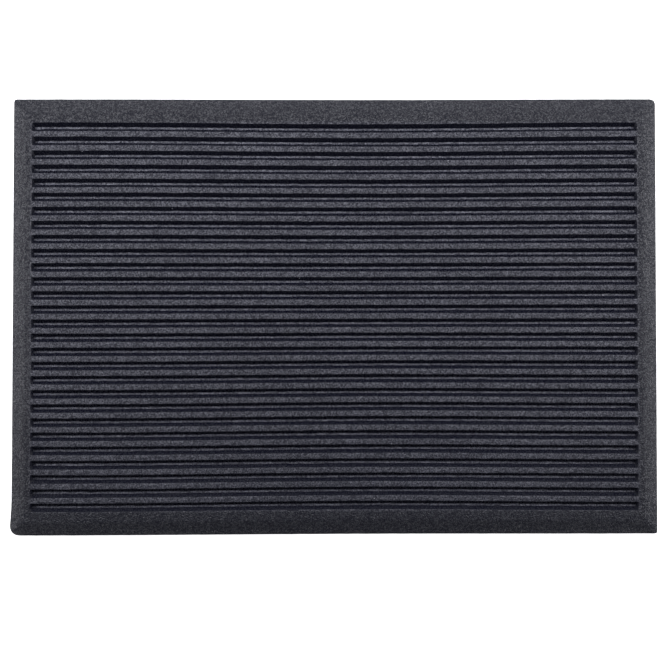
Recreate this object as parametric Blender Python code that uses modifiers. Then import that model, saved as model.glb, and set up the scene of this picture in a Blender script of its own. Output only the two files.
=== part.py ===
"""A moulded rubber door mat in two bonded courses: a ribbed tread on a grip backing.

Metres, +Z up. X runs along the mat's long side and along its grooves, and Y runs across them.
The origin is the middle of the flat underside, on the floor.
"""

import math

import bmesh
import bpy
from mathutils import Matrix, Vector

# The whole mat
MAT_LENGTH = 0.600
MAT_WIDTH = 0.406
MAT_HEIGHT = 0.008

# The sloped border, all round
BORDER_RUN = 0.0135
EDGE_HEIGHT = 0.0035

# The corners in plan, counter-clockwise from the -X -Y one, which is the blunt one
CORNER_RADII = (0.0095, 0.0025, 0.0055, 0.0032)
CORNER_STEPS = 8

# The two courses, and the clearance that stands for the bond line between them
BACKING_THICKNESS = 0.002
BOND_GAP = 0.0003

# The grooves: each is a long tapered slot with closed ends
GROOVE_COUNT = 28
GROOVE_PITCH = 0.013
GROOVE_WIDTH = 0.008
GROOVE_FLOOR_WIDTH = 0.002
GROOVE_DEPTH = 0.004
GROOVE_LENGTH = 0.562
GROOVE_END_RUN = 0.0012
GROOVE_CORNER = 0.0008
GROOVE_CORNER_STEPS = 3
CUTTER_REACH = 0.001

TREAD_RUBBER = {"color": (0.020, 0.020, 0.024), "roughness": 0.48}
BACKING_RUBBER = {"color": (0.014, 0.014, 0.015), "roughness": 0.70}


def clear_scene():
    for obj in list(bpy.data.objects):
        bpy.data.objects.remove(obj, do_unlink=True)


def make_collection(name):
    collection = bpy.data.collections.new(name)
    bpy.context.scene.collection.children.link(collection)
    return collection


def rubber(name, color, roughness):
    material = bpy.data.materials.new(name)
    material.use_nodes = True
    shader = material.node_tree.nodes["Principled BSDF"]
    shader.inputs["Base Color"].default_value = (*color, 1.0)
    shader.inputs["Roughness"].default_value = roughness
    shader.inputs["Metallic"].default_value = 0.0
    return material


def add_object(name, mesh, collection):
    obj = bpy.data.objects.new(name, mesh)
    collection.objects.link(obj)
    return obj


def mat_outline():
    """The mat's outline in plan: straight sides joined by one arc at each corner."""
    corners = ((-1, -1), (1, -1), (1, 1), (-1, 1))
    points = []
    for number, ((side_x, side_y), radius) in enumerate(zip(corners, CORNER_RADII)):
        centre = Vector((side_x * (MAT_LENGTH / 2 - radius), side_y * (MAT_WIDTH / 2 - radius)))
        for step in range(CORNER_STEPS + 1):
            angle = math.pi + (number + step / CORNER_STEPS) * math.pi / 2
            points.append(centre + radius * Vector((math.cos(angle), math.sin(angle))))
    return points


def outline_plate(name, bottom, top, collection):
    """A flat plate with the mat's outline: a filled 2D curve with thickness, made a mesh."""
    curve = bpy.data.curves.new(name + "_outline", "CURVE")
    curve.dimensions = "2D"
    curve.fill_mode = "BOTH"
    curve.extrude = (top - bottom) / 2
    points = mat_outline()
    spline = curve.splines.new("POLY")
    spline.points.add(len(points) - 1)
    for spline_point, point in zip(spline.points, points):
        spline_point.co = (point.x, point.y, 0.0, 1.0)
    spline.use_cyclic_u = True

    outline = add_object(name + "_curve", curve, collection)
    outline.location.z = (top + bottom) / 2
    bpy.context.view_layer.update()
    evaluated = outline.evaluated_get(bpy.context.evaluated_depsgraph_get())
    mesh = bpy.data.meshes.new_from_object(evaluated)
    shape = bmesh.new()
    shape.from_mesh(mesh)
    bmesh.ops.remove_doubles(shape, verts=shape.verts, dist=1e-6)
    bmesh.ops.recalc_face_normals(shape, faces=shape.faces)
    shape.to_mesh(mesh)
    shape.free()
    mesh.materials.clear()
    plate = add_object(name, mesh, collection)
    plate.matrix_world = outline.matrix_world.copy()
    bpy.data.objects.remove(outline, do_unlink=True)
    return plate


def sloped_slab(name, collection):
    """The tread's block: a slab whose top is drawn in and raised, which slopes the border."""
    bottom = BACKING_THICKNESS + BOND_GAP
    mesh = bpy.data.meshes.new(name)
    shape = bmesh.new()
    size = Vector((MAT_LENGTH, MAT_WIDTH, EDGE_HEIGHT - bottom))
    middle = Vector((0.0, 0.0, (EDGE_HEIGHT + bottom) / 2))
    bmesh.ops.create_cube(shape, size=1.0, matrix=Matrix.LocRotScale(middle, None, size))
    shape.normal_update()
    top = max(shape.faces, key=lambda face: face.calc_center_median().z)
    rise = MAT_HEIGHT - EDGE_HEIGHT
    bmesh.ops.inset_individual(
        shape, faces=[top], thickness=BORDER_RUN, depth=rise, use_even_offset=True
    )
    shape.to_mesh(mesh)
    shape.free()
    return add_object(name, mesh, collection)


def groove_cutter(name, collection):
    """One tapered slot with its four upright corners rounded, repeated across the mat."""
    side_slope = (GROOVE_WIDTH - GROOVE_FLOOR_WIDTH) / 2 / GROOVE_DEPTH
    end_slope = GROOVE_END_RUN / GROOVE_DEPTH
    floor_z = MAT_HEIGHT - GROOVE_DEPTH
    top_z = MAT_HEIGHT + CUTTER_REACH
    mesh = bpy.data.meshes.new(name)
    shape = bmesh.new()
    bmesh.ops.create_cube(shape, size=2.0)
    for vert in shape.verts:
        height = top_z if vert.co.z > 0 else floor_z
        above = height - MAT_HEIGHT
        vert.co.x *= GROOVE_LENGTH / 2 + above * end_slope
        vert.co.y *= GROOVE_WIDTH / 2 + above * side_slope
        vert.co.z = height
    upright = [
        edge for edge in shape.edges if abs(edge.verts[0].co.z - edge.verts[1].co.z) > GROOVE_DEPTH
    ]
    bmesh.ops.bevel(
        shape,
        geom=upright,
        offset=GROOVE_CORNER,
        segments=GROOVE_CORNER_STEPS,
        profile=0.5,
        affect="EDGES",
    )
    shape.to_mesh(mesh)
    shape.free()
    cutter = add_object(name, mesh, collection)
    cutter.location.y = -GROOVE_PITCH * (GROOVE_COUNT - 1) / 2
    row = cutter.modifiers.new("groove_row", "ARRAY")
    row.count = GROOVE_COUNT
    row.use_relative_offset = False
    row.use_constant_offset = True
    row.constant_offset_displace = (0.0, GROOVE_PITCH, 0.0)
    return cutter


def hide_cutter(cutter):
    cutter.hide_render = True
    cutter.display_type = "WIRE"


def add_boolean(obj, operation, cutter):
    boolean = obj.modifiers.new(cutter.name, "BOOLEAN")
    boolean.operation = operation
    boolean.solver = "EXACT"
    boolean.object = cutter


def make_tread(parts, cutters):
    tread = sloped_slab("ribbed_tread", parts)
    trim = outline_plate("outline_trim", 0.0, MAT_HEIGHT + CUTTER_REACH, cutters)
    grooves = groove_cutter("groove_cutter", cutters)
    for cutter in (trim, grooves):
        hide_cutter(cutter)
    add_boolean(tread, "INTERSECT", trim)
    add_boolean(tread, "DIFFERENCE", grooves)
    tread.data.materials.append(rubber("tread_rubber", **TREAD_RUBBER))


def make_backing(parts):
    backing = outline_plate("grip_backing", 0.0, BACKING_THICKNESS, parts)
    backing.data.materials.append(rubber("backing_rubber", **BACKING_RUBBER))


clear_scene()
door_mat = make_collection("door_mat")
cutting_tools = make_collection("cutters")
make_tread(door_mat, cutting_tools)
make_backing(door_mat)
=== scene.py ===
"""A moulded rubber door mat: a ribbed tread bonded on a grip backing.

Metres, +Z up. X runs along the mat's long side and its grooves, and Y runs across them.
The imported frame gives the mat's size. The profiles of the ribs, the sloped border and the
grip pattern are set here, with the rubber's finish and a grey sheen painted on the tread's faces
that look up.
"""

import math

import bmesh
import bpy
import numpy as np
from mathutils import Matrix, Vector, noise


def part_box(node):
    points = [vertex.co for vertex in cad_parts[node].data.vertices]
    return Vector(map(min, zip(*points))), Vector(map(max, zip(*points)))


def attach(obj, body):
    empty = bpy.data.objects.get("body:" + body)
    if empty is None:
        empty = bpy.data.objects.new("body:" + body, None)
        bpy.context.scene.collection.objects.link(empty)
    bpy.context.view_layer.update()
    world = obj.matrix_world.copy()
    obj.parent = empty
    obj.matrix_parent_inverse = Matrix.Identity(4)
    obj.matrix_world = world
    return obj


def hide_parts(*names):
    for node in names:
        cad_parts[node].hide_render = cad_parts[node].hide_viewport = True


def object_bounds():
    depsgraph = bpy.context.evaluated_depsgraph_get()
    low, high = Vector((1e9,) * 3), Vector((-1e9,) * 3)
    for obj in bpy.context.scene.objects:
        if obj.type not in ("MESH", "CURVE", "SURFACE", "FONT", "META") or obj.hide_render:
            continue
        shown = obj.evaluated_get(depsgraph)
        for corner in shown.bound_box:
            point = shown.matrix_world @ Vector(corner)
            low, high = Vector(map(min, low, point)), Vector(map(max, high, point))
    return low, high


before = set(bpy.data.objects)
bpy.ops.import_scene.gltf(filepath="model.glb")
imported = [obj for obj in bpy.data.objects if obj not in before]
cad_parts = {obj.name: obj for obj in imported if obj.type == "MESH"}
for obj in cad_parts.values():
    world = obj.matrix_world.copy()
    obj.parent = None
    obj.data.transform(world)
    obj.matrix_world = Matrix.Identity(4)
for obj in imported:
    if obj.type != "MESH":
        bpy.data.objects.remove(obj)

cad_low, cad_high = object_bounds()

HALF_LENGTH = (cad_high.x - cad_low.x) / 2
HALF_WIDTH = (cad_high.y - cad_low.y) / 2
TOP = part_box("ribbed_tread")[1].z
BOND_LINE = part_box("grip_backing")[1].z

# The sloped border, with the roundings of its ridge and of the mat's edges
BORDER_RUN = 0.0135
EDGE_HEIGHT = 0.0035
RIDGE_RADIUS = 0.010
EDGE_RADIUS = 0.0010
BACKING_EDGE_RADIUS = 0.0003
BORDER_STEP = 0.0025

# The corners in plan, by the sign of X and Y
CORNER_RADII = {(-1, -1): 0.0095, (1, -1): 0.0025, (1, 1): 0.0055, (-1, 1): 0.0032}

# The grooves between the ribs
GROOVE_COUNT = 28
GROOVE_PITCH = 0.013
GROOVE_WIDTH = 0.008
GROOVE_DEPTH = 0.004
GROOVE_LENGTH = 0.562
SIDE_RUN = 0.0031
END_RUN = 0.0012
GROOVE_CORNER = 0.0016
RIM_RADIUS = 0.0006
FLOOR_RADIUS = 0.0004
ALONG_STEP = 0.004

# The grip pattern underneath: square pads with channels between them
PAD_PITCH = 0.018
PADS_ALONG = 32
PADS_ACROSS = 21
CHANNEL_WIDTH = 0.0030
CHANNEL_RUN = 0.0006
CHANNEL_DEPTH = 0.0004

# How the soft moulding strays from its drawing. Its ribs pinch in at the middle and lie a little
# off centre, and the whole mat is skewed. One stretch of ribs is pushed up, one corner is drawn
# out, the border at the +X end is a little wider, and every edge wavers
PINCH = 0.0009
PINCH_BIAS = 0.15
PINCH_MIDDLE = 0.03
PINCH_HALF_WAVE = 0.27
OFF_CENTRE = 0.00045
HOLD_AT_EDGE = 0.3
SKEW = 0.0025
PUSHED = 0.0007
PUSHED_PLACE = (0.05, -0.080)
PUSHED_REACH = (0.15, 0.06)
DRAWN = 0.0017
DRAWN_REACH = (0.05, 0.020)
WIDER = 0.0006
WAVER = 0.0004
WAVER_ALONG = 0.007
WAVER_ACROSS = 0.004
WAVER_APART = Vector((0.0, 0.0, 7.3))

WELD = 1e-6
SMOOTH_ANGLE = math.radians(40)

# The size of the rubber's granules, of its grain and of its cloudy patches
GRANULE = 0.0010
GRAIN = 0.0011
MOTTLE = 0.06

# The ranges that their noise is read over
WIDE_RANGE = (0.3, 0.7)
MIDDLE_RANGE = (0.35, 0.65)

# Spots on the rubber: how far apart their places are, a spot's radius, and the share of the
# places that have one
PITS = (0.0065, 0.0009, 0.35)
DUST = (0.017, 0.0006, 0.30)
GRIT = (0.009, 0.0008, 0.40)
SPOT_CORE = 0.6

# How much of the grey painted sheen lies on the border and on the ribs, and how many times as much
# lies on the grooves' floors. The sheen is colour painted on the faces that look up, in place of
# the softboxes' reflection
SHEEN_PAINTED_ON_BORDER = 0.060
SHEEN_PAINTED_ON_RIBS = 0.52
# The floors' larger share is a painted highlight along each groove
SHEEN_PAINTED_ON_FLOORS = 1.6
RIB_ENDS_INSET = 0.0010
RIB_SIDES_INSET = 0.0035
BORDER_FADE = 0.0030

# The tread's granules, from the dullest to the palest. Few of them are pale
GRANULE_POWER = 1.7
# How much of the painted sheen each granule takes, from the dullest to the palest
GRANULE_PAINTED_SHEEN = (0.18, 1.0)
GRANULE_SHINE = (0.22, 1.0)
GRANULE_ROUGHNESS = (0.62, 0.36)

# A face is steep where its normal's Z is below the first of these, and open above the second.
# The grain makes the change between them ragged
STEEP_TO_OPEN = (0.78, 0.92)
RAGGED = 0.12

# The grooves' walls and floors are smoother than the open faces
WALL_ROUGHNESS = 0.6
FLOOR_ROUGHNESS = -0.12
WALL_RELIEF = 0.25
NEAR_FLOOR = 0.0002
NEAR_RIM = 0.0010

# The depth of the fine relief on the tread and on the backing, and its parts' shares of it
TREAD_RELIEF = 0.0009
GRANULE_DOME = 0.35
PIT_DEPTH = 0.6
BACKING_RELIEF = 0.0004
BACKING_RELIEF_STRENGTH = 0.6
GRIT_HEIGHT = 0.5

# The cloudy patches' effect on the painted sheen and on the roughness, from their dark to their
# pale parts
MOTTLE_PAINTED_SHEEN = (0.85, 1.15)
MOTTLE_ROUGHNESS = (0.04, -0.04)

# How rubbed the backing is in its channels, in its dark patches and in the pits of its grain
RUBBED_IN_CHANNELS = 0.15
RUBBED_IN_PATCHES = 0.25
RUBBED_IN_GRAIN = 0.5
BACKING_PATCH_RANGE = (0.40, 0.62)
BACKING_ROUGHNESS = (0.88, 0.70)
RUBBED_SMOOTHER = -0.15

# The colours from clean rubber, at 0, through the tread's full painted sheen, which stands in for
# the softboxes' reflection, or the backing's rubbed rubber, to dust or grit, at 1
FULL = 0.5
TREAD_COLORS_WITH_PAINTED_SHEEN = (
    (0.0, (0.0084, 0.0091, 0.0160)),
    (FULL, (0.155, 0.157, 0.196)),
    (1.0, (0.35, 0.35, 0.36)),
)
BACKING_COLORS = (
    (0.0, (0.008, 0.008, 0.009)),
    (FULL, (0.050, 0.050, 0.052)),
    (1.0, (0.16, 0.15, 0.13)),
)

# The studio
CAMERA_PLACE = (-0.0058, -0.0238, 0.6504)
CAMERA_TURN = (0.736, -0.308, -0.117)
CAMERA_FIELD = 51.2
FLOOR_SIZE = 12.0
FLOOR_GAP = 0.0001
FLOOR_WHITE = (0.9, 0.9, 0.9, 1.0)
FLOOR_GLOW = 0.55
WALL_GLOW = 0.32
WALL_TOP = 0.22
CEILING_GLOW = 0.03
SOFTBOX_COLOR = (0.985, 0.99, 1.045)

# Each softbox: its name, its tilt from overhead and its bearing in degrees, how far off it is, its
# size and its watts
SOFTBOXES = (
    ("back_left", 43, 125, 0.90, 0.55, 0.55, 3.60),
    ("back_right", 43, 55, 0.90, 0.55, 0.55, 3.45),
    ("left", 66, 174, 1.25, 0.75, 1.0, 6.4),
    ("right", 66, 6, 1.25, 0.75, 1.0, 7.0),
)


def filleted(corners, radii, steps):
    """A profile through the corners, with an arc of its own radius at each inner one."""
    corners = [Vector(corner) for corner in corners]
    profile = [corners[0]]
    for before, corner, after, radius in zip(corners, corners[1:], corners[2:], radii):
        arriving = (corner - before).normalized()
        leaving = (after - corner).normalized()
        turn = arriving.angle(leaving)
        cut = radius * math.tan(turn / 2)
        centre = corner + (leaving - arriving).normalized() * radius / math.cos(turn / 2)
        first, last = corner - arriving * cut - centre, corner + leaving * cut - centre
        for step in range(steps + 1):
            swing = turn * step / steps
            ray = (first * math.sin(turn - swing) + last * math.sin(swing)) / math.sin(turn)
            profile.append(centre + ray)
    profile.append(corners[-1])
    return profile


def divided(profile, longest):
    """The same profile with points added until no straight run is over longest."""
    points = [profile[0]]
    for start, end in zip(profile, profile[1:]):
        parts = max(1, math.ceil((end - start).length / longest))
        points += [start.lerp(end, part / parts) for part in range(1, parts + 1)]
    return points


# The groove's section, from the middle of a rib down to the middle of the groove's floor
GROOVE_SECTION = filleted(
    (
        (-(GROOVE_PITCH - GROOVE_WIDTH) / 2, 0.0),
        (0.0, 0.0),
        (SIDE_RUN, GROOVE_DEPTH),
        (GROOVE_WIDTH / 2, GROOVE_DEPTH),
    ),
    (RIM_RADIUS, FLOOR_RADIUS),
    steps=2,
)

# A grip channel's section, from its middle up onto a pad
CHANNEL_SECTION = (
    (0.0, CHANNEL_DEPTH),
    (CHANNEL_WIDTH / 2 - CHANNEL_RUN, CHANNEL_DEPTH),
    (CHANNEL_WIDTH / 2, 0.0),
)


def groove_drop(x, y):
    """A groove's depth at x along it and y across it. Its ends are closed, with round corners."""
    side = GROOVE_WIDTH / 2 - np.abs(y)
    end = (GROOVE_LENGTH / 2 - np.abs(x)) * SIDE_RUN / END_RUN
    from_side, from_end = GROOVE_CORNER - side, GROOVE_CORNER - end
    round_corner = np.hypot(np.maximum(from_side, 0), np.maximum(from_end, 0))
    inside = GROOVE_CORNER - round_corner - np.minimum(np.maximum(from_side, from_end), 0)
    reach, depth = np.array(GROOVE_SECTION).T
    return np.interp(inside, reach, depth)


def channel_depth(place, pads):
    """The depth of the channels that divide a row of pads, which is centred on zero."""
    from_line = np.abs((place / PAD_PITCH + pads / 2 + 0.5) % 1 - 0.5) * PAD_PITCH
    reach, depth = np.array(CHANNEL_SECTION).T
    return np.interp(from_line, reach, depth)


def within_pads(place, pads):
    """1 inside the field of pads, falling to 0 up the outer wall of its last channel."""
    last = pads * PAD_PITCH / 2 + CHANNEL_WIDTH / 2
    return np.interp(np.abs(place), (last - CHANNEL_RUN, last), (1.0, 0.0))


def channel_drop(x, y):
    """The grip pattern's depth, where the channels along and across the mat meet."""
    along = channel_depth(x, PADS_ALONG) * within_pads(y, PADS_ACROSS)
    across = channel_depth(y, PADS_ACROSS) * within_pads(x, PADS_ALONG)
    return np.maximum(along, across)


def mirrored(lines):
    """The same lines on the other side of the middle, from low to high."""
    return [Vector((-line.x, line.y)) for line in reversed(lines)]


def both_sides(lines):
    """The lines from the middle out, given for one side, on both sides of it."""
    return mirrored(lines) + [line for line in lines if line.x > 0]


def tread_border(half_size, start):
    """The tread's lines from the ribs out: flat rim, rounded ridge, slope, and down the edge."""
    corners = (
        (start, TOP),
        (half_size - BORDER_RUN, TOP),
        (half_size, EDGE_HEIGHT),
        (half_size, BOND_LINE),
    )
    return divided(filleted(corners, (RIDGE_RADIUS, EDGE_RADIUS), steps=4), BORDER_STEP)


def backing_border(half_size, start):
    """The backing's lines from the grip pattern out: flat margin, then the sheet's own edge."""
    corners = ((start, BOND_LINE), (half_size, BOND_LINE), (half_size, 0.0))
    return divided(filleted(corners, (BACKING_EDGE_RADIUS,), steps=2), BORDER_STEP)


def channel_places(channels):
    """Where the sections of channels along the given lines have their points."""
    walls = [reach for reach, _ in CHANNEL_SECTION]
    places = {line + side * reach for line in channels for side in (-1, 1) for reach in walls}
    return sorted(places)


def level_lines(places, height):
    """Lines at the given places, all at one height."""
    return [Vector((place, height)) for place in places]


def relief(name, columns, rows, drop):
    """A sheet with a point wherever a column crosses a row. Each line is (place, height), a point
    takes the lower of its two lines' heights, and drop(x, y) lowers it further."""
    shape = bmesh.new()
    bmesh.ops.create_grid(shape, x_segments=len(columns) - 1, y_segments=len(rows) - 1)
    mesh = bpy.data.meshes.new(name)
    shape.to_mesh(mesh)
    shape.free()
    along, column_height = np.array(columns).T
    across, row_height = np.array(rows).T
    x, y = np.meshgrid(along, across)
    z = np.minimum(column_height[None, :], row_height[:, None]) - drop(x, y)
    mesh.vertices.foreach_set("co", np.stack([x, y, z], axis=-1).ravel())
    mesh.update()
    return mesh


def repeat_tree():
    """Geometry nodes that lay one strip of a pattern side by side across the mat and weld it."""
    tree = bpy.data.node_groups.new("repeat_across", "GeometryNodeTree")
    for name, kind in (
        ("Strip", "NodeSocketGeometry"),
        ("Count", "NodeSocketInt"),
        ("First Place", "NodeSocketVector"),
        ("Pitch", "NodeSocketVector"),
        ("Weld Distance", "NodeSocketFloat"),
        ("Rubber", "NodeSocketMaterial"),
    ):
        tree.interface.new_socket(name=name, in_out="INPUT", socket_type=kind)
    tree.interface.new_socket(name="Field", in_out="OUTPUT", socket_type="NodeSocketGeometry")

    given = tree.nodes.new("NodeGroupInput")
    places = tree.nodes.new("GeometryNodeMeshLine")
    strips = tree.nodes.new("GeometryNodeInstanceOnPoints")
    real = tree.nodes.new("GeometryNodeRealizeInstances")
    weld = tree.nodes.new("GeometryNodeMergeByDistance")
    finish = tree.nodes.new("GeometryNodeSetMaterial")
    result = tree.nodes.new("NodeGroupOutput")
    for source, output, target, entry in (
        (given, "Count", places, "Count"),
        (given, "First Place", places, "Start Location"),
        (given, "Pitch", places, "Offset"),
        (places, "Mesh", strips, "Points"),
        (given, "Strip", strips, "Instance"),
        (strips, "Instances", real, "Geometry"),
        (real, "Geometry", weld, "Geometry"),
        (given, "Weld Distance", weld, "Distance"),
        (weld, "Geometry", finish, "Geometry"),
        (given, "Rubber", finish, "Material"),
        (finish, "Geometry", result, "Field"),
    ):
        tree.links.new(source.outputs[output], target.inputs[entry])
    return tree


def repeated(strip, tree, count, pitch, rubber):
    """The strip's mesh repeated count times along Y, centred on the mat, as one plain mesh."""
    maker = bpy.data.objects.new(strip.name + "_maker", strip)
    bpy.context.scene.collection.objects.link(maker)
    pattern = maker.modifiers.new("pattern", "NODES")
    pattern.node_group = tree
    values = {
        "Count": count,
        "First Place": (0.0, -(count - 1) / 2 * pitch, 0.0),
        "Pitch": (0.0, pitch, 0.0),
        "Weld Distance": WELD,
        "Rubber": rubber,
    }
    for item in tree.interface.items_tree:
        if item.name in values:
            pattern[item.identifier] = values[item.name]
    bpy.context.view_layer.update()
    made = maker.evaluated_get(bpy.context.evaluated_depsgraph_get())
    field = bpy.data.meshes.new_from_object(made)
    bpy.data.objects.remove(maker, do_unlink=True)
    return field


def on_corner_arc(x, y):
    """Draws a point near a square corner of the plan in towards that corner's arc."""
    side_x, side_y = (1 if x > 0 else -1), (1 if y > 0 else -1)
    radius = CORNER_RADII[side_x, side_y]
    start_x, start_y = HALF_LENGTH - radius, HALF_WIDTH - radius
    past_x, past_y = (abs(x) - start_x) / radius, (abs(y) - start_y) / radius
    if past_x <= 0 or past_y <= 0:
        return x, y
    drawn_x = past_x * math.sqrt(1 - past_y**2 / 2)
    drawn_y = past_y * math.sqrt(1 - past_x**2 / 2)
    return side_x * (start_x + radius * drawn_x), side_y * (start_y + radius * drawn_y)


def swell(x, y, place, reach):
    """1 at a place, fading to nothing around it."""
    return math.exp(-(((x - place[0]) / reach[0]) ** 2) - ((y - place[1]) / reach[1]) ** 2)


def settled(point):
    """Where a drawn point lies on the real mat."""
    x, y = on_corner_arc(point.x, point.y)
    field = GROOVE_COUNT * GROOVE_PITCH / 2
    past_ends = (abs(x) - GROOVE_LENGTH / 2) / (HALF_LENGTH - GROOVE_LENGTH / 2)
    past_field = max(past_ends, (abs(y) - field) / (HALF_WIDTH - field))
    hold = 1 - (1 - HOLD_AT_EDGE) * min(max(past_field, 0.0), 1.0)
    bow = math.cos(math.pi * (x - PINCH_MIDDLE) / PINCH_HALF_WAVE) + PINCH_BIAS
    pinched = -hold * (PINCH * bow * y / field + OFF_CENTRE)
    pushed = hold * PUSHED * swell(x, y, PUSHED_PLACE, PUSHED_REACH)
    drawn = -DRAWN * swell(x, y, (-HALF_LENGTH, -HALF_WIDTH), DRAWN_REACH)
    widened = WIDER * max(past_ends, 0.0) if x > 0 else 0.0
    place = Vector((x / WAVER_ALONG, y / WAVER_ACROSS, 0.0))
    waver_x = hold * WAVER * noise.noise(place + WAVER_APART)
    waver_y = hold * WAVER * noise.noise(place)
    settled_x = x + SKEW * y + drawn + widened + waver_x
    return Vector((settled_x, y + pinched + pushed + waver_y, point.z))


def moulding(name, sheets, rubber, turned_over):
    """One closed moulding from its sheets of relief. A flat face closes it, and it is turned over
    where the relief looks down."""
    shape = bmesh.new()
    for sheet in sheets:
        shape.from_mesh(sheet)
    bmesh.ops.remove_doubles(shape, verts=shape.verts, dist=WELD)
    bmesh.ops.dissolve_degenerate(shape, edges=shape.edges, dist=WELD)
    for vert in shape.verts:
        vert.co = settled(vert.co)
        if turned_over:
            vert.co.z = BOND_LINE - vert.co.z
    open_edge = [edge for edge in shape.edges if edge.is_boundary]
    bmesh.ops.edgeloop_fill(shape, edges=open_edge)
    bmesh.ops.recalc_face_normals(shape, faces=shape.faces)
    mesh = bpy.data.meshes.new(name)
    shape.to_mesh(mesh)
    shape.free()
    mesh.materials.clear()
    mesh.materials.append(rubber)
    mesh.shade_smooth()
    mesh.set_sharp_from_angle(angle=SMOOTH_ANGLE)
    piece = bpy.data.objects.new(name, mesh)
    bpy.context.scene.collection.objects.link(piece)
    return piece


def make_tread(tree, rubber):
    """The tread: one strip of rib and groove repeated across the mat, between two borders."""
    reaches = [reach for reach, _ in reversed(GROOVE_SECTION)]
    rib_rows = level_lines([GROOVE_WIDTH / 2 - reach for reach in reaches], TOP)
    end_places = [GROOVE_LENGTH / 2 - reach * END_RUN / SIDE_RUN for reach in reaches]
    along_groove = divided(level_lines([0.0, *end_places], TOP), ALONG_STEP)
    columns = both_sides(along_groove + tread_border(HALF_LENGTH, end_places[-1])[1:])
    far_rows = tread_border(HALF_WIDTH, GROOVE_COUNT * GROOVE_PITCH / 2)

    strip = relief("rib_strip", columns, both_sides(rib_rows), groove_drop)
    sheets = (
        repeated(strip, tree, GROOVE_COUNT, GROOVE_PITCH, rubber),
        relief("far_border", columns, far_rows, groove_drop),
        relief("near_border", columns, mirrored(far_rows), groove_drop),
    )
    tread = moulding("tread", sheets, rubber, turned_over=False)
    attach(tread, "root")
    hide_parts("ribbed_tread")


def make_backing(tree, rubber):
    """The backing: one row of pads repeated across the mat, between two margins."""
    half_along, half_across = PADS_ALONG * PAD_PITCH / 2, PADS_ACROSS * PAD_PITCH / 2
    channels = [number * PAD_PITCH for number in range(PADS_ALONG // 2 + 1)]
    places = [place for place in channel_places(channels) if place >= 0]
    pads = level_lines(places, BOND_LINE)
    columns = both_sides(pads + backing_border(HALF_LENGTH, places[-1])[1:])
    strip_places = channel_places((-PAD_PITCH / 2, PAD_PITCH / 2))
    strip_rows = [place for place in strip_places if abs(place) <= PAD_PITCH / 2]
    outer_wall = [place for place in channel_places((half_across,)) if place >= half_across]
    margin = backing_border(HALF_WIDTH, outer_wall[-1])[1:]
    far_rows = level_lines(outer_wall, BOND_LINE) + margin

    strip = relief("pad_strip", columns, level_lines(strip_rows, BOND_LINE), channel_drop)
    sheets = (
        repeated(strip, tree, PADS_ACROSS, PAD_PITCH, rubber),
        relief("far_margin", columns, far_rows, channel_drop),
        relief("near_margin", columns, mirrored(far_rows), channel_drop),
    )
    backing = moulding("backing", sheets, rubber, turned_over=True)
    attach(backing, "root")
    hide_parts("grip_backing")


def add_node(tree, kind, inputs=(), **settings):
    """A new node with its settings and inputs, where an input is a value or another's output."""
    node = tree.nodes.new(kind)
    for name, value in settings.items():
        setattr(node, name, value)
    for name, value in dict(inputs).items():
        if isinstance(value, bpy.types.NodeSocket):
            tree.links.new(value, node.inputs[name])
        else:
            node.inputs[name].default_value = value
    return node


def color_ramp(tree, factor, stops):
    """A colour for the factor, from stops of (place, colour)."""
    node = add_node(tree, "ShaderNodeValToRGB", {"Fac": factor})
    elements = node.color_ramp.elements
    while len(elements) < len(stops):
        elements.new(1.0)
    for element, (place, color) in zip(elements, stops):
        element.position = place
        element.color = (*color, 1.0)
    return node.outputs["Color"]


def mapped(tree, value, start, end, low, high):
    """low where the value is at start or before it, and high where it is at end or past it."""
    node = add_node(
        tree,
        "ShaderNodeMapRange",
        {"Value": value, "From Min": start, "From Max": end, "To Min": low, "To Max": high},
    )
    return node.outputs["Result"]


def blended(tree, share, low, high):
    """low where the share is 0, and high where it is 1."""
    return mapped(tree, share, 0.0, 1.0, low, high)


def combined(tree, operation, first, second):
    """Two values or outputs put through one of the Math node's operations."""
    return add_node(tree, "ShaderNodeMath", {0: first, 1: second}, operation=operation).outputs[0]


def product(tree, first, *others):
    """All the factors multiplied."""
    for other in others:
        first = combined(tree, "MULTIPLY", first, other)
    return first


def total(tree, first, *others):
    """All the terms added."""
    for other in others:
        first = combined(tree, "ADD", first, other)
    return first


def part_of(tree, vector, axis):
    """A vector's X, Y or Z."""
    return add_node(tree, "ShaderNodeSeparateXYZ", {"Vector": vector}).outputs[axis]


def noise_of(tree, place, size, detail):
    """Noise about 0.5 on average, with features of the given size."""
    inputs = {"Vector": place, "Scale": 1 / size, "Detail": detail}
    return add_node(tree, "ShaderNodeTexNoise", inputs).outputs["Fac"]


def rubber_shader(name):
    """A new material with its shader, and a node that reads places on the piece."""
    material = bpy.data.materials.new(name)
    material.use_nodes = True
    tree = material.node_tree
    shader = tree.nodes["Principled BSDF"]
    place = add_node(tree, "ShaderNodeTexCoord").outputs["Object"]
    return material, tree, shader, place


def between(tree, place, axis, half, fade):
    """1 within half of the middle along an axis, falling to 0 over fade beyond it."""
    from_middle = combined(tree, "ABSOLUTE", part_of(tree, place, axis), 0.0)
    return mapped(tree, from_middle, half, half + fade, 1.0, 0.0)


def scattered(tree, place, spacing, radius, share):
    """1 on small round spots, at random places about spacing apart, and 0 elsewhere. The share is
    how many of the places have a spot."""
    cells = add_node(tree, "ShaderNodeTexVoronoi", {"Vector": place, "Scale": 1 / spacing})
    size = radius / spacing
    spot = mapped(tree, cells.outputs["Distance"], size * SPOT_CORE, size, 1.0, 0.0)
    chosen = combined(tree, "LESS_THAN", part_of(tree, cells.outputs["Color"], "X"), share)
    return product(tree, spot, chosen)


def open_faces(tree, grain):
    """1 on the faces that look up and 0 on the steep ones, with a ragged change between."""
    facing_up = part_of(tree, add_node(tree, "ShaderNodeNewGeometry").outputs["Normal"], "Z")
    ragged = mapped(tree, grain, *WIDE_RANGE, -RAGGED, RAGGED)
    return mapped(tree, total(tree, facing_up, ragged), *STEEP_TO_OPEN, 0.0, 1.0)


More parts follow.
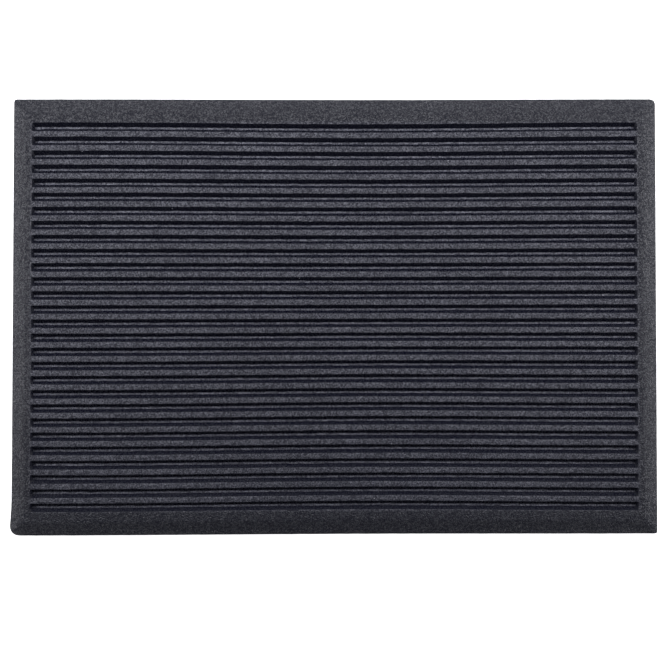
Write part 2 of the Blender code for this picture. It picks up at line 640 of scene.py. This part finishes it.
def rib_field(tree, place):
    """1 on the field of ribs and 0 on the border round it."""
    half_along = GROOVE_LENGTH / 2 - RIB_ENDS_INSET
    half_across = GROOVE_COUNT * GROOVE_PITCH / 2 - RIB_SIDES_INSET
    return product(
        tree,
        between(tree, place, "X", half_along, BORDER_FADE),
        between(tree, place, "Y", half_across, BORDER_FADE),
    )


def tread_rubber():
    """Black moulded rubber crumb, where every granule has its own shade and shine. A grey painted
    sheen, which stands in for the softboxes' reflection, lies on the faces that look up, more on
    the ribs than on the border, and the grooves' steep walls get none and stay black."""
    material, tree, shader, place = rubber_shader("tread_rubber")
    granules = add_node(tree, "ShaderNodeTexVoronoi", {"Vector": place, "Scale": 1 / GRANULE})
    granule = part_of(tree, granules.outputs["Color"], "X")
    pale = combined(tree, "POWER", granule, GRANULE_POWER)
    grain = noise_of(tree, place, GRAIN, detail=1.5)
    mottle = noise_of(tree, place, MOTTLE, detail=3.0)
    pits_dented_and_painted_dark = scattered(tree, place, *PITS)
    dust = scattered(tree, place, *DUST)
    open_face = open_faces(tree, grain)
    groove_floor = TOP - GROOVE_DEPTH
    level = part_of(tree, place, "Z")
    raised = mapped(tree, level, groove_floor + NEAR_FLOOR, TOP - NEAR_RIM, 0.0, 1.0)

    # The grey painted sheen: the softboxes' reflection painted on the faces that look up, shaped
    # by the real granules and cloudy patches
    grain_and_painted_sheen = product(
        tree,
        blended(tree, pale, *GRANULE_PAINTED_SHEEN),
        open_face,
        # The grooves' floors take more of the painted sheen: a painted highlight along each floor
        blended(tree, raised, SHEEN_PAINTED_ON_FLOORS, 1.0),
        blended(tree, rib_field(tree, place), SHEEN_PAINTED_ON_BORDER, SHEEN_PAINTED_ON_RIBS),
        mapped(tree, mottle, *MIDDLE_RANGE, *MOTTLE_PAINTED_SHEEN),
        # Pits take none of the painted sheen and stay dark: painted shade in the pits, which the
        # bump also dents
        combined(tree, "SUBTRACT", 1.0, pits_dented_and_painted_dark),
    )
    base = color_ramp(tree, total(tree, product(tree, grain_and_painted_sheen, FULL), dust), TREAD_COLORS_WITH_PAINTED_SHEEN)
    shine = blended(tree, product(tree, pale, open_face), *GRANULE_SHINE)
    roughness = total(
        tree,
        blended(tree, granule, *GRANULE_ROUGHNESS),
        blended(tree, raised, FLOOR_ROUGHNESS, 0.0),
        mapped(tree, mottle, *MIDDLE_RANGE, *MOTTLE_ROUGHNESS),
    )
    roughness = product(tree, roughness, blended(tree, open_face, WALL_ROUGHNESS, 1.0))
    height = total(
        tree,
        grain,
        product(tree, granules.outputs["Distance"], -GRANULE_DOME),
        product(tree, pits_dented_and_painted_dark, -PIT_DEPTH),
    )
    strength = blended(tree, open_face, WALL_RELIEF, 1.0)
    relief_inputs = {"Height": height, "Distance": TREAD_RELIEF, "Strength": strength}
    bump = add_node(tree, "ShaderNodeBump", relief_inputs).outputs["Normal"]
    tree.links.new(base, shader.inputs["Base Color"])
    tree.links.new(shine, shader.inputs["Specular IOR Level"])
    tree.links.new(roughness, shader.inputs["Roughness"])
    tree.links.new(bump, shader.inputs["Normal"])
    return material


def backing_rubber():
    """Dull black sheet rubber. The pads are rubbed paler than the channels, and grit lies all over
    it.
    """
    material, tree, shader, place = rubber_shader("backing_rubber")
    grain = noise_of(tree, place, GRAIN, detail=2.0)
    mottle = noise_of(tree, place, MOTTLE, detail=4.0)
    grit = scattered(tree, place, *GRIT)
    on_pads = mapped(tree, part_of(tree, place, "Z"), 0.0, CHANNEL_DEPTH, 1.0, 0.0)
    rubbed = product(
        tree,
        blended(tree, on_pads, RUBBED_IN_CHANNELS, 1.0),
        mapped(tree, mottle, *BACKING_PATCH_RANGE, RUBBED_IN_PATCHES, 1.0),
        mapped(tree, grain, *MIDDLE_RANGE, RUBBED_IN_GRAIN, 1.0),
    )
    base = color_ramp(tree, total(tree, product(tree, rubbed, FULL), grit), BACKING_COLORS)
    roughness = total(
        tree,
        mapped(tree, grain, *WIDE_RANGE, *BACKING_ROUGHNESS),
        blended(tree, rubbed, 0.0, RUBBED_SMOOTHER),
    )
    height = total(tree, grain, product(tree, grit, GRIT_HEIGHT))
    relief_inputs = {
        "Height": height,
        "Distance": BACKING_RELIEF,
        "Strength": BACKING_RELIEF_STRENGTH,
    }
    bump = add_node(tree, "ShaderNodeBump", relief_inputs).outputs["Normal"]
    tree.links.new(base, shader.inputs["Base Color"])
    tree.links.new(roughness, shader.inputs["Roughness"])
    tree.links.new(bump, shader.inputs["Normal"])
    return material


def glow_seen(tree, glow):
    """The glow as light for the mat, and plain white where the camera looks straight at it."""
    seen = add_node(tree, "ShaderNodeLightPath").outputs["Is Camera Ray"]
    return blended(tree, seen, glow, 1.0)


def make_floor():
    """A white floor with a glow of its own, as a light table has. It is clear from below, which
    shows the mat's underside."""
    shape = bmesh.new()
    bmesh.ops.create_grid(shape, x_segments=1, y_segments=1, size=FLOOR_SIZE / 2)
    bmesh.ops.translate(shape, verts=shape.verts, vec=(0.0, 0.0, -FLOOR_GAP))
    mesh = bpy.data.meshes.new("floor")
    shape.to_mesh(mesh)
    shape.free()
    floor = bpy.data.objects.new("floor", mesh)
    bpy.context.scene.collection.objects.link(floor)
    white = bpy.data.materials.new("white_floor")
    white.use_nodes = True
    tree = white.node_tree
    shader = tree.nodes["Principled BSDF"]
    shader.inputs["Base Color"].default_value = FLOOR_WHITE
    shader.inputs["Roughness"].default_value = 0.8
    shader.inputs["Emission Color"].default_value = (1.0, 1.0, 1.0, 1.0)
    tree.links.new(glow_seen(tree, FLOOR_GLOW), shader.inputs["Emission Strength"])
    from_below = add_node(tree, "ShaderNodeNewGeometry").outputs["Backfacing"]
    tree.links.new(blended(tree, from_below, 1.0, 0.0), shader.inputs["Alpha"])
    mesh.materials.append(white)


def add_softbox(name, tilt, bearing, distance, width, height, watts):
    """A softbox facing the mat, tilted from straight overhead towards a bearing from +X. The
    camera doesn't see it."""
    lamp = bpy.data.lights.new(name, "AREA")
    lamp.shape = "RECTANGLE"
    lamp.size = width
    lamp.size_y = height
    lamp.energy = watts
    lamp.color = SOFTBOX_COLOR
    box = bpy.data.objects.new(name, lamp)
    box.visible_camera = False
    level = Vector((math.cos(bearing), math.sin(bearing), 0.0))
    away = level * math.sin(tilt) + Vector((0.0, 0.0, math.cos(tilt)))
    box.location = away * distance
    box.rotation_euler = away.to_track_quat("Z", "Y").to_euler()
    bpy.context.scene.collection.objects.link(box)


def light_studio():
    """Softboxes over the back corners and both ends, in a room with a dim ceiling."""
    for name, tilt, bearing, *rest in SOFTBOXES:
        add_softbox(name, math.radians(tilt), math.radians(bearing), *rest)
    world = bpy.data.worlds.new("room")
    world.use_nodes = True
    tree = world.node_tree
    direction = add_node(tree, "ShaderNodeTexCoord").outputs["Generated"]
    height = part_of(tree, direction, "Z")
    background = tree.nodes["Background"]
    background.inputs["Color"].default_value = (1.0, 1.0, 1.0, 1.0)
    room = mapped(tree, height, 0.0, WALL_TOP, WALL_GLOW, CEILING_GLOW)
    tree.links.new(glow_seen(tree, room), background.inputs["Strength"])
    bpy.context.scene.world = world


def place_camera():
    """A camera over the middle of the mat, looking almost straight down."""
    lens = bpy.data.cameras.new("camera")
    lens.sensor_width = 36.0
    lens.lens = lens.sensor_width / 2 / math.tan(math.radians(CAMERA_FIELD) / 2)
    camera = bpy.data.objects.new("camera", lens)
    camera.location = CAMERA_PLACE
    camera.rotation_euler = [math.radians(angle) for angle in CAMERA_TURN]
    bpy.context.scene.collection.objects.link(camera)
    bpy.context.scene.camera = camera


place_camera()
light_studio()
make_floor()
bpy.context.scene.view_settings.view_transform = "Standard"
repeat_across = repeat_tree()
make_tread(repeat_across, tread_rubber())
make_backing(repeat_across, backing_rubber())
